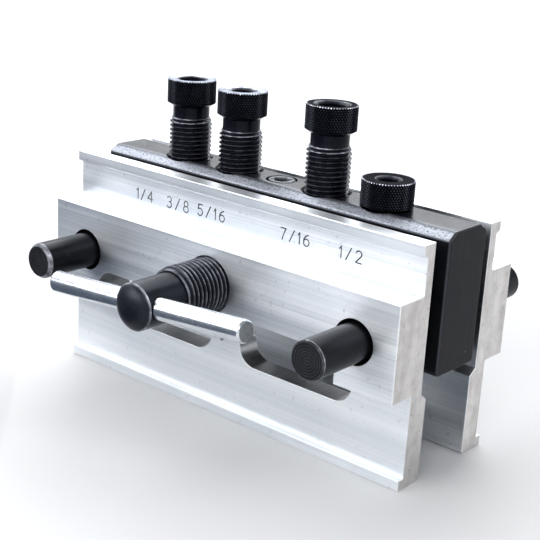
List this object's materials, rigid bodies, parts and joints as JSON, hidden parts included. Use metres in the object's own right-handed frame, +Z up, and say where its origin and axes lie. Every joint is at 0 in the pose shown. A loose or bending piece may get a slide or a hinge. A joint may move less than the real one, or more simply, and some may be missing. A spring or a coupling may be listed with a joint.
{
  "type": "self-centring doweling jig",
  "caption": "Hand clamping jig that centres drill bushings over a board's edge: two aluminium jaws, black steel drill block, guide pins, opposed-thread screw and tommy bar.",
  "frame": {"origin": "centre of the drill block's underside, the face that rests on the edge of the work", "axes": "+X along the jaws to the right as seen from the handle, +Y away from the handle across the work, +Z up out of the block's top face"},
  "size_m": [0.1475, 0.1198, 0.1055],
  "materials": {
    "jaw_aluminium": "extruded and brushed, saw-cut ends",
    "black_block": "black oxide, rubbed bright along the top",
    "black_steel": "black oxide, turned",
    "bushing_black": "black oxide, fine knurl and thread",
    "bright_steel": "zinc plated, polished"
  },
  "bodies": {
    "block": {"drill_block": "black_block", "guide_pin_left": "black_steel", "guide_pin_right": "black_steel", "retaining_set_screw": "black_steel"},
    "front_jaw": {"front_jaw": "jaw_aluminium"},
    "rear_jaw": {"rear_jaw": "jaw_aluminium"},
    "screw": {"lead_screw": "black_steel", "tommy_bar": "bright_steel"},
    "bushing_1": {"drill_bushing_1": "bushing_black"},
    "bushing_2": {"drill_bushing_2": "bushing_black"},
    "bushing_3": {"drill_bushing_3": "bushing_black"},
    "bushing_4": {"drill_bushing_4": "bushing_black"}
  },
  "joints": [
    {"name": "screw_turn", "type": "hinge", "parent": "block", "child": "screw", "pos_m": [-0.003, 0, 0.0143], "axis": [0, -1, 0], "range_deg": [-925, 3085]},
    {"name": "front_jaw_slide", "type": "slide", "parent": "block", "child": "front_jaw", "axis": [0, -1, 0], "range_m": [-0.0046, 0.0151]},
    {"name": "rear_jaw_slide", "type": "slide", "parent": "block", "child": "rear_jaw", "axis": [0, 1, 0], "range_m": [-0.0046, 0.0151]},
    {"name": "bushing_1_travel", "type": "slide", "parent": "block", "child": "bushing_1", "axis": [0, 0, 1], "range_m": [-0.0182, 0.0035]},
    {"name": "bushing_2_travel", "type": "slide", "parent": "block", "child": "bushing_2", "axis": [0, 0, 1], "range_m": [-0.0178, 0.0035]},
    {"name": "bushing_3_travel", "type": "slide", "parent": "block", "child": "bushing_3", "axis": [0, 0, 1], "range_m": [-0.0192, 0.0025]},
    {"name": "bushing_4_travel", "type": "slide", "parent": "block", "child": "bushing_4", "axis": [0, 0, 1], "range_m": [0, 0.022]}
  ],
  "couplings": [
    {"joint": "front_jaw_slide", "follows": "screw_turn", "m_per_rad": 0.00027852},
    {"joint": "rear_jaw_slide", "follows": "screw_turn", "m_per_rad": 0.00027852}
  ]
}
